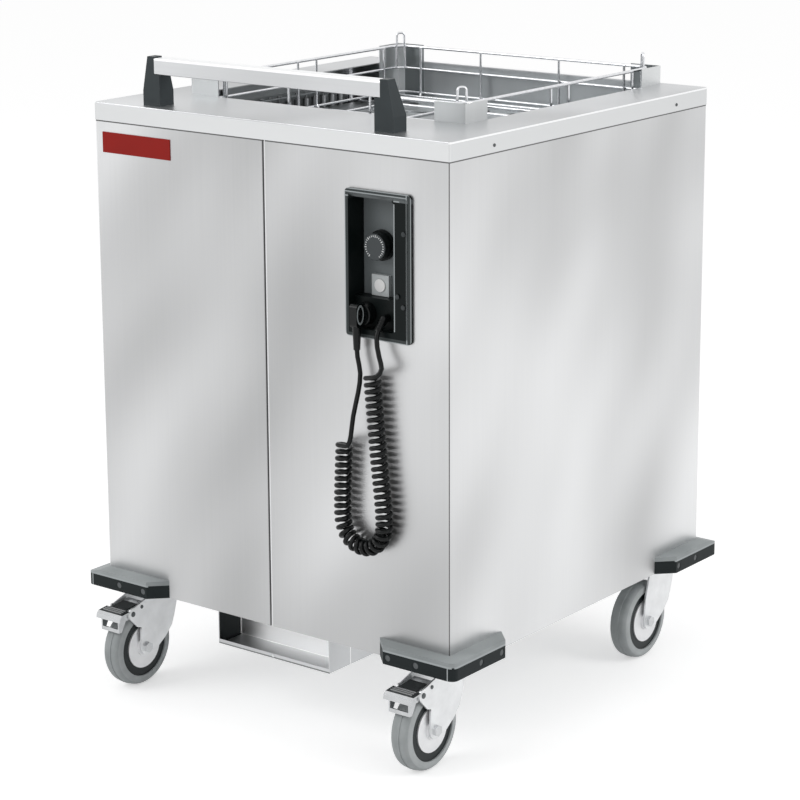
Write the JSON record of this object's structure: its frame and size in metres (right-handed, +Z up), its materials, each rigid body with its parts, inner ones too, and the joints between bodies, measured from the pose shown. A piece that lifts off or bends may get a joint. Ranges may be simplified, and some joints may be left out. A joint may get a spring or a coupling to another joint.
{
  "type": "heated basket dispenser trolley",
  "caption": "Mobile heated dispenser: a square steel cabinet on swivel castors, with a sprung basket platform in a heated well, a push handle and a curly mains lead.",
  "frame": {"origin": "on the floor under the middle of the outline, bumpers and castors included", "axes": "+X towards the right-hand side as the user faces the control panel, -Y towards the front, where the handle and control panel are, +Z up"},
  "size_m": [0.71, 0.7494, 0.985],
  "materials": {
    "stainless_sheet": "brushed stainless sheet",
    "basket_wire": "bright electropolished wire",
    "bright_rod": "ground and polished",
    "spring_steel": "close-wound spring wire",
    "white_nylon": "natural nylon",
    "grey_plastic": "dark blue-grey moulded plastic, fine grain",
    "satin_aluminium": "satin anodised",
    "fastener": "bright zinc",
    "red_plate": "plain red, no print",
    "grey_plate": "satin grey",
    "black_plastic": "black, semi-gloss",
    "pale_plastic": "light grey",
    "white_lens": "white lens",
    "black_rubber": "black flexible cable sheath",
    "black_enamel": "black enamel",
    "galvanised": "galvanised sheet",
    "heater_tube": "heat-tinted steel tube",
    "zinc_plated": "bright zinc plate",
    "wheel_core": "pressed steel disc in a dark rim",
    "grey_tyre": "grey non-marking rubber"
  },
  "bodies": {
    "cabinet": {"air_box": "stainless_sheet", "badge_plate": "red_plate", "base_pan": "stainless_sheet", "bumper_screws": "fastener", "castor_bolts": "fastener", "castor_plates": "zinc_plated", "control_housing": "grey_plastic", "control_plate": "grey_plate", "cord_boot": "black_rubber", "cord_coil": "black_rubber", "cord_lead_out": "black_rubber", "cord_lead_plug": "black_rubber", "corner_bumpers": "grey_plastic", "corner_guides": "stainless_sheet", "fan_motor": "black_enamel", "front_panel_left": "stainless_sheet", "front_panel_right": "stainless_sheet", "guide_rods": "bright_rod", "handle_bar": "satin_aluminium", "handle_brackets": "grey_plastic", "handle_screws": "fastener", "heating_element": "heater_tube", "lift_springs": "spring_steel", "outlet_block": "black_plastic", "panel_screws": "fastener", "plug": "black_rubber", "rear_panel": "stainless_sheet", "side_panel_left": "stainless_sheet", "side_panel_right": "stainless_sheet", "spring_rails": "stainless_sheet", "switch_body": "pale_plastic", "thermostat_body": "black_plastic", "well_floor": "stainless_sheet", "well_walls": "stainless_sheet", "worktop": "stainless_sheet"},
    "platform": {"platform_tray": "stainless_sheet", "carriage_frame": "stainless_sheet", "guide_bushes": "white_nylon"},
    "basket": {"wire_basket": "basket_wire"},
    "knob": {"thermostat_knob": "black_plastic"},
    "button": {"switch_button": "white_lens"},
    "fan": {"fan_impeller": "galvanised"},
    "fork_front_left": {"castor_fork_front_left": "zinc_plated", "castor_axle_front_left": "fastener"},
    "wheel_front_left": {"castor_wheel_front_left": "wheel_core", "castor_tyre_front_left": "grey_tyre"},
    "fork_front_right": {"castor_fork_front_right": "zinc_plated", "castor_axle_front_right": "fastener"},
    "wheel_front_right": {"castor_wheel_front_right": "wheel_core", "castor_tyre_front_right": "grey_tyre"},
    "fork_rear_left": {"castor_fork_rear_left": "zinc_plated", "castor_axle_rear_left": "fastener"},
    "wheel_rear_left": {"castor_wheel_rear_left": "wheel_core", "castor_tyre_rear_left": "grey_tyre"},
    "fork_rear_right": {"castor_fork_rear_right": "zinc_plated", "castor_axle_rear_right": "fastener"},
    "wheel_rear_right": {"castor_wheel_rear_right": "wheel_core", "castor_tyre_rear_right": "grey_tyre"},
    "pedal_front_left": {"brake_pedal_front_left": "zinc_plated"},
    "pedal_front_right": {"brake_pedal_front_right": "zinc_plated"}
  },
  "joints": [
    {"name": "platform_lift", "type": "slide", "parent": "cabinet", "child": "platform", "axis": [0, 0, -1], "range_m": [0, 0.47], "stiffness_N_per_m": 1500, "springref_m": -0.08, "deforming": ["lift_springs"]},
    {"name": "basket_lift", "type": "slide", "parent": "platform", "child": "basket", "axis": [0, 0, 1], "range_m": [0, 0.15]},
    {"name": "thermostat_turn", "type": "hinge", "parent": "cabinet", "child": "knob", "pos_m": [0.191, -0.28475, 0.75], "axis": [0, 1, 0], "range_deg": [0, 270]},
    {"name": "switch_press", "type": "slide", "parent": "cabinet", "child": "button", "axis": [0, 1, 0], "range_m": [0, 0.003], "stiffness_N_per_m": 300, "springref_m": -0.001},
    {"name": "fan_spin", "type": "hinge", "parent": "cabinet", "child": "fan", "pos_m": [0, 0.08475, 0.17], "axis": [0, 0, 1], "continuous": true},
    {"name": "swivel_front_left", "type": "hinge", "parent": "cabinet", "child": "fork_front_left", "pos_m": [-0.281, -0.26725, 0.1415], "axis": [0, 0, 1], "continuous": true},
    {"name": "spin_front_left", "type": "hinge", "parent": "fork_front_left", "child": "wheel_front_left", "pos_m": [-0.281, -0.31225, 0.0625], "axis": [1, 0, 0], "continuous": true},
    {"name": "swivel_front_right", "type": "hinge", "parent": "cabinet", "child": "fork_front_right", "pos_m": [0.281, -0.26725, 0.1415], "axis": [0, 0, 1], "continuous": true},
    {"name": "spin_front_right", "type": "hinge", "parent": "fork_front_right", "child": "wheel_front_right", "pos_m": [0.281, -0.31225, 0.0625], "axis": [1, 0, 0], "continuous": true},
    {"name": "swivel_rear_left", "type": "hinge", "parent": "cabinet", "child": "fork_rear_left", "pos_m": [-0.281, 0.30075, 0.1415], "axis": [0, 0, 1], "continuous": true},
    {"name": "spin_rear_left", "type": "hinge", "parent": "fork_rear_left", "child": "wheel_rear_left", "pos_m": [-0.281, 0.25575, 0.0625], "axis": [1, 0, 0], "continuous": true},
    {"name": "swivel_rear_right", "type": "hinge", "parent": "cabinet", "child": "fork_rear_right", "pos_m": [0.281, 0.30075, 0.1415], "axis": [0, 0, 1], "continuous": true},
    {"name": "spin_rear_right", "type": "hinge", "parent": "fork_rear_right", "child": "wheel_rear_right", "pos_m": [0.281, 0.25575, 0.0625], "axis": [1, 0, 0], "continuous": true},
    {"name": "brake_front_left", "type": "hinge", "parent": "fork_front_left", "child": "pedal_front_left", "pos_m": [-0.281, -0.34175, 0.124], "axis": [1, 0, 0], "range_deg": [0, 6]},
    {"name": "brake_front_right", "type": "hinge", "parent": "fork_front_right", "child": "pedal_front_right", "pos_m": [0.281, -0.34175, 0.124], "axis": [1, 0, 0], "range_deg": [0, 6]}
  ]
}
